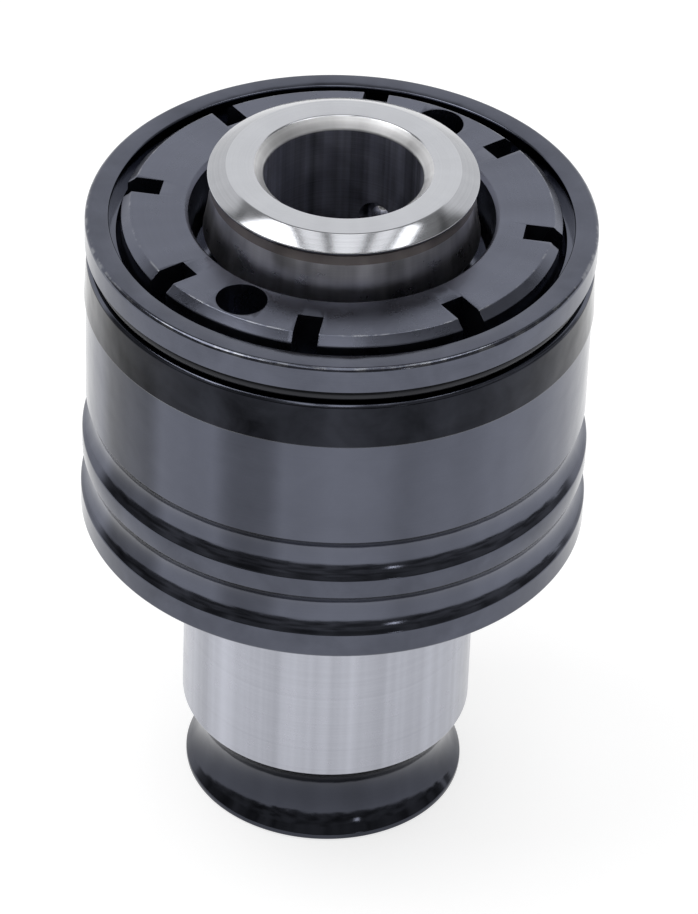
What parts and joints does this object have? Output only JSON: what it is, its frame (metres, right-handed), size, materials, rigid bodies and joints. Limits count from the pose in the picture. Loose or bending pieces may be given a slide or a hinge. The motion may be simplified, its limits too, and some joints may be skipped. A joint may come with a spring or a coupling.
{
  "type": "quick change tapping adapter",
  "caption": "Quick change tapping adapter with an overload clutch: a ball grooved shank carries a sprung tap holder with a push down release sleeve.",
  "frame": {"origin": "on the axis of the tap bore, level with the top face of the cup's rim", "axes": "+Z along the axis towards the tap, +X at right angles to it; the nut's slots and the drive keyways are placed from +X"},
  "size_m": [0.0326, 0.0326, 0.0477],
  "materials": {
    "body": "black oxide, the shank ground bright",
    "black_oxide": "black oxide on turned steel",
    "bright_steel": "turned bright face",
    "ball_steel": "polished ball bearing steel",
    "spring_steel": "phosphated spring steel",
    "bronze": "plain bearing bronze",
    "ground_steel": "hardened and ground"
  },
  "bodies": {
    "body": {"body_and_shank": "body", "adjusting_nut": "black_oxide", "lock_ring": "spring_steel", "pressure_washer": "ground_steel", "disc_spring_1": "spring_steel", "disc_spring_2": "spring_steel", "disc_spring_3": "spring_steel", "disc_spring_4": "spring_steel", "bearing_race": "ground_steel", "clutch_balls": "ball_steel", "spindle_bush": "bronze"},
    "cage": {"bearing_cage": "bronze", "bearing_balls": "ball_steel"},
    "spindle": {"spindle": "black_oxide", "clamping_cone": "black_oxide", "stop_washer": "ground_steel", "sleeve_spring": "spring_steel"},
    "sleeve": {"release_sleeve": "bright_steel", "seat_ring": "spring_steel"},
    "ball_1": {"locking_ball_1": "ball_steel"},
    "ball_2": {"locking_ball_2": "ball_steel"},
    "ball_3": {"locking_ball_3": "ball_steel"}
  },
  "joints": [
    {"name": "clutch_slip", "type": "hinge", "parent": "body", "child": "spindle", "pos_m": [0, 0, 0], "axis": [0, 0, 1], "continuous": true},
    {"name": "cage_roll", "type": "hinge", "parent": "body", "child": "cage", "pos_m": [0, 0, 0], "axis": [0, 0, 1], "continuous": true},
    {"name": "sleeve_release", "type": "slide", "parent": "spindle", "child": "sleeve", "axis": [0, 0, -1], "range_m": [0, 0.0018], "stiffness_N_per_m": 2500, "springref_m": -0.002, "deforming": ["sleeve_spring"]},
    {"name": "locking_ball_1_out", "type": "slide", "parent": "sleeve", "child": "ball_1", "axis": [0.5, 0.866, 0], "range_m": [0, 0.00036]},
    {"name": "locking_ball_2_out", "type": "slide", "parent": "sleeve", "child": "ball_2", "axis": [-1, 0, 0], "range_m": [0, 0.00036]},
    {"name": "locking_ball_3_out", "type": "slide", "parent": "sleeve", "child": "ball_3", "axis": [0.5, -0.866, 0], "range_m": [0, 0.00036]}
  ],
  "couplings": [
    {"joint": "cage_roll", "follows": "clutch_slip", "ratio": 0.5},
    {"joint": "locking_ball_1_out", "follows": "sleeve_release", "ratio": 0.2},
    {"joint": "locking_ball_2_out", "follows": "sleeve_release", "ratio": 0.2},
    {"joint": "locking_ball_3_out", "follows": "sleeve_release", "ratio": 0.2}
  ]
}
